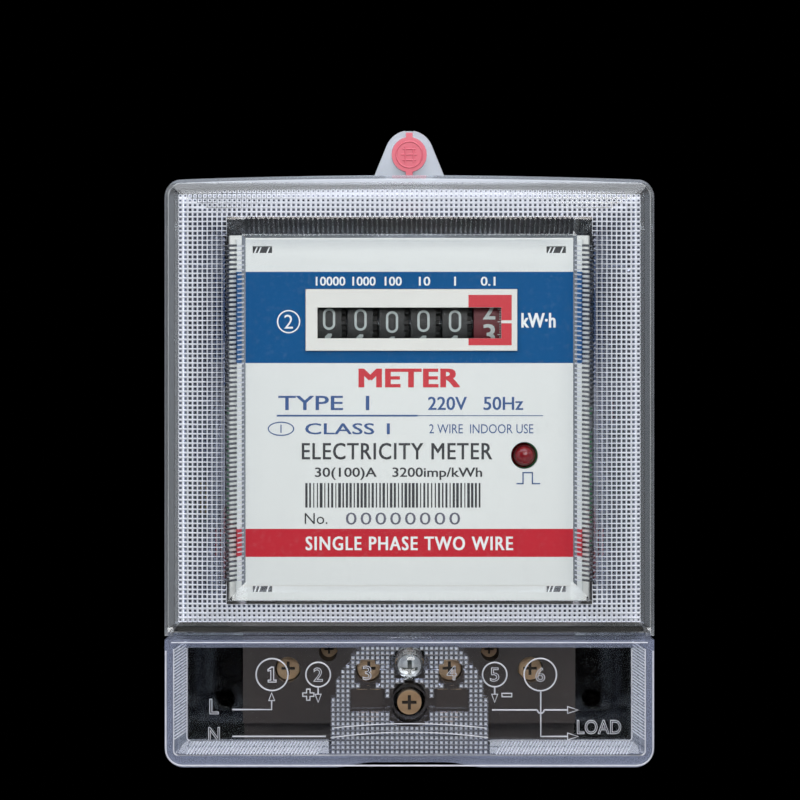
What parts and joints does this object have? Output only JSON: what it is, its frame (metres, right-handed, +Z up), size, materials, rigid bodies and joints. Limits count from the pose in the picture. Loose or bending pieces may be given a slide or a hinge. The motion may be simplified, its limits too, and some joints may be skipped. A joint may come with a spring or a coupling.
{
  "type": "electric meter",
  "caption": "Wall-mounted single-phase electricity meter in a clear case, with a drum register behind a printed nameplate, a pulse light and a screwed terminal cover.",
  "frame": {"origin": "centre of the hanging hole, on the wall face", "axes": "+X to the right seen from the front, +Y back towards the wall, +Z up"},
  "size_m": [0.115, 0.056, 0.1502],
  "materials": {
    "clear_case": "clear moulded polycarbonate, prism textured round the window",
    "clear_base": "clear moulded polycarbonate",
    "seal_rubber": "grey silicone strip",
    "seal_plastic": "pink-red moulded seal",
    "zinc_screw": "zinc plated steel",
    "brass_screw": "turned brass",
    "brass": "extruded brass",
    "bakelite": "dark brown phenolic moulding",
    "copper": "rolled copper strip",
    "board_green": "green solder mask on glass fibre",
    "chip_black": "black epoxy",
    "capacitor_box": "yellow potted box",
    "capacitor_can": "sleeved aluminium can",
    "varistor_blue": "blue dipped coat",
    "coupler_white": "white moulded package",
    "resistor_body": "lacquered ceramic",
    "crystal_can": "drawn can",
    "light_red": "red epoxy lens",
    "lead_wire": "tinned wire",
    "dial_white": "white moulded plastic",
    "nameplate_print": "white printed plate",
    "shaft_steel": "ground steel",
    "drum_black": "black moulded drum with white figures",
    "drum_red": "dark red moulded drum with white figures",
    "frame_black": "black moulded plastic",
    "gear_acetal": "natural acetal",
    "motor_can": "drawn steel can",
    "rotor_magnet": "bonded magnet",
    "wire_red": "red insulation",
    "wire_black": "black insulation"
  },
  "bodies": {
    "case": {"base": "clear_base", "gasket": "seal_rubber", "block_screws": "zinc_screw", "board_screws": "zinc_screw", "carrier_screws": "zinc_screw", "terminal_1": "brass", "terminal_3": "brass", "terminal_4": "brass", "terminal_6": "brass", "pulse_terminal_2": "brass", "pulse_terminal_5": "brass", "terminal_block": "bakelite", "current_shunt": "copper", "neutral_link": "copper", "circuit_board": "board_green", "metering_chip": "chip_black", "led_holder": "chip_black", "supply_capacitor": "capacitor_box", "smoothing_capacitor": "capacitor_can", "varistor": "varistor_blue", "optocoupler": "coupler_white", "resistors": "resistor_body", "crystal": "crystal_can", "pulse_led": "light_red", "led_leads": "lead_wire", "dial_carrier": "dial_white", "register_bezel": "dial_white", "nameplate": "nameplate_print", "drum_shaft": "shaft_steel", "pinion_shaft": "shaft_steel", "idler_stub": "shaft_steel", "register_frame": "frame_black", "motor_case": "motor_can", "motor_leads": "wire_red", "signal_leads": "wire_black"},
    "main_cover": {"main_cover": "clear_case"},
    "terminal_cover": {"terminal_cover": "clear_case"},
    "seal_plug": {"seal_plug": "seal_plastic"},
    "lug_screw": {"lug_screw": "zinc_screw"},
    "cover_screw": {"cover_screw": "zinc_screw"},
    "seal_screw": {"seal_screw": "brass_screw"},
    "drum_ten_thousands": {"drum_ten_thousands": "drum_black"},
    "drum_thousands": {"drum_thousands": "drum_black"},
    "drum_hundreds": {"drum_hundreds": "drum_black"},
    "drum_tens": {"drum_tens": "drum_black"},
    "drum_units": {"drum_units": "drum_black"},
    "drum_tenths": {"drum_tenths": "drum_red"},
    "carry_pinion_1": {"carry_pinion_1": "frame_black"},
    "carry_pinion_2": {"carry_pinion_2": "frame_black"},
    "carry_pinion_3": {"carry_pinion_3": "frame_black"},
    "carry_pinion_4": {"carry_pinion_4": "frame_black"},
    "carry_pinion_5": {"carry_pinion_5": "frame_black"},
    "idler_gear": {"idler_gear": "gear_acetal"},
    "motor_rotor": {"motor_rotor": "rotor_magnet"},
    "clamp_screw_1": {"clamp_screw_1": "brass_screw"},
    "clamp_screw_3": {"clamp_screw_3": "brass_screw"},
    "clamp_screw_4": {"clamp_screw_4": "brass_screw"},
    "clamp_screw_6": {"clamp_screw_6": "brass_screw"},
    "pulse_screw_2": {"pulse_screw_2": "brass_screw"},
    "pulse_screw_5": {"pulse_screw_5": "brass_screw"}
  },
  "joints": [
    {"name": "main_cover_off", "type": "slide", "parent": "case", "child": "main_cover", "axis": [0, -1, 0], "range_m": [0, 0.06]},
    {"name": "terminal_cover_off", "type": "slide", "parent": "main_cover", "child": "terminal_cover", "axis": [0, -1, 0], "range_m": [0, 0.06]},
    {"name": "seal_plug_out", "type": "slide", "parent": "main_cover", "child": "seal_plug", "axis": [0, -1, 0], "range_m": [0, 0.012]},
    {"name": "lug_screw_turn", "type": "hinge", "parent": "main_cover", "child": "lug_screw", "pos_m": [0, -0.028, 0.0224], "axis": [0, -1, 0], "continuous": true},
    {"name": "cover_screw_turn", "type": "hinge", "parent": "main_cover", "child": "cover_screw", "pos_m": [0, -0.0395, -0.0974], "axis": [0, -1, 0], "continuous": true},
    {"name": "seal_screw_turn", "type": "hinge", "parent": "terminal_cover", "child": "seal_screw", "pos_m": [0, -0.046, -0.1073], "axis": [0, -1, 0], "continuous": true},
    {"name": "drum_ten_thousands_spin", "type": "hinge", "parent": "case", "child": "drum_ten_thousands", "pos_m": [0, -0.0349, -0.0179], "axis": [-1, 0, 0], "continuous": true},
    {"name": "drum_thousands_spin", "type": "hinge", "parent": "case", "child": "drum_thousands", "pos_m": [0, -0.0349, -0.0179], "axis": [-1, 0, 0], "continuous": true},
    {"name": "drum_hundreds_spin", "type": "hinge", "parent": "case", "child": "drum_hundreds", "pos_m": [0, -0.0349, -0.0179], "axis": [-1, 0, 0], "continuous": true},
    {"name": "drum_tens_spin", "type": "hinge", "parent": "case", "child": "drum_tens", "pos_m": [0, -0.0349, -0.0179], "axis": [-1, 0, 0], "continuous": true},
    {"name": "drum_units_spin", "type": "hinge", "parent": "case", "child": "drum_units", "pos_m": [0, -0.0349, -0.0179], "axis": [-1, 0, 0], "continuous": true},
    {"name": "drum_tenths_spin", "type": "hinge", "parent": "case", "child": "drum_tenths", "pos_m": [0, -0.0349, -0.0179], "axis": [-1, 0, 0], "continuous": true},
    {"name": "carry_pinion_1_spin", "type": "hinge", "parent": "case", "child": "carry_pinion_1", "pos_m": [0, -0.02573, -0.01148], "axis": [-1, 0, 0], "continuous": true},
    {"name": "carry_pinion_2_spin", "type": "hinge", "parent": "case", "child": "carry_pinion_2", "pos_m": [0, -0.02573, -0.01148], "axis": [-1, 0, 0], "continuous": true},
    {"name": "carry_pinion_3_spin", "type": "hinge", "parent": "case", "child": "carry_pinion_3", "pos_m": [0, -0.02573, -0.01148], "axis": [-1, 0, 0], "continuous": true},
    {"name": "carry_pinion_4_spin", "type": "hinge", "parent": "case", "child": "carry_pinion_4", "pos_m": [0, -0.02573, -0.01148], "axis": [-1, 0, 0], "continuous": true},
    {"name": "carry_pinion_5_spin", "type": "hinge", "parent": "case", "child": "carry_pinion_5", "pos_m": [0, -0.02573, -0.01148], "axis": [-1, 0, 0], "continuous": true},
    {"name": "idler_gear_spin", "type": "hinge", "parent": "case", "child": "idler_gear", "pos_m": [0.023, -0.02642, -0.0232], "axis": [-1, 0, 0], "continuous": true},
    {"name": "motor_rotor_spin", "type": "hinge", "parent": "case", "child": "motor_rotor", "pos_m": [0.03, -0.02234, -0.02949], "axis": [-1, 0, 0], "continuous": true},
    {"name": "clamp_screw_1_drive", "type": "slide", "parent": "case", "child": "clamp_screw_1", "axis": [0, 1, 0], "range_m": [0, 0.0045]},
    {"name": "clamp_screw_3_drive", "type": "slide", "parent": "case", "child": "clamp_screw_3", "axis": [0, 1, 0], "range_m": [0, 0.0045]},
    {"name": "clamp_screw_4_drive", "type": "slide", "parent": "case", "child": "clamp_screw_4", "axis": [0, 1, 0], "range_m": [0, 0.0045]},
    {"name": "clamp_screw_6_drive", "type": "slide", "parent": "case", "child": "clamp_screw_6", "axis": [0, 1, 0], "range_m": [0, 0.0045]},
    {"name": "pulse_screw_2_drive", "type": "slide", "parent": "case", "child": "pulse_screw_2", "axis": [0, 1, 0], "range_m": [0, 0.0024]},
    {"name": "pulse_screw_5_drive", "type": "slide", "parent": "case", "child": "pulse_screw_5", "axis": [0, 1, 0], "range_m": [0, 0.0024]}
  ],
  "couplings": [
    {"joint": "drum_ten_thousands_spin", "follows": "drum_tenths_spin", "ratio": 0.00001},
    {"joint": "drum_thousands_spin", "follows": "drum_tenths_spin", "ratio": 0.0001},
    {"joint": "drum_hundreds_spin", "follows": "drum_tenths_spin", "ratio": 0.001},
    {"joint": "drum_tens_spin", "follows": "drum_tenths_spin", "ratio": 0.01},
    {"joint": "drum_units_spin", "follows": "drum_tenths_spin", "ratio": 0.1},
    {"joint": "carry_pinion_1_spin", "follows": "drum_tenths_spin", "ratio": -0.000025},
    {"joint": "carry_pinion_2_spin", "follows": "drum_tenths_spin", "ratio": -0.00025},
    {"joint": "carry_pinion_3_spin", "follows": "drum_tenths_spin", "ratio": -0.0025},
    {"joint": "carry_pinion_4_spin", "follows": "drum_tenths_spin", "ratio": -0.025},
    {"joint": "carry_pinion_5_spin", "follows": "drum_tenths_spin", "ratio": -0.25},
    {"joint": "idler_gear_spin", "follows": "drum_tenths_spin", "ratio": -4},
    {"joint": "motor_rotor_spin", "follows": "drum_tenths_spin", "ratio": 16}
  ]
}
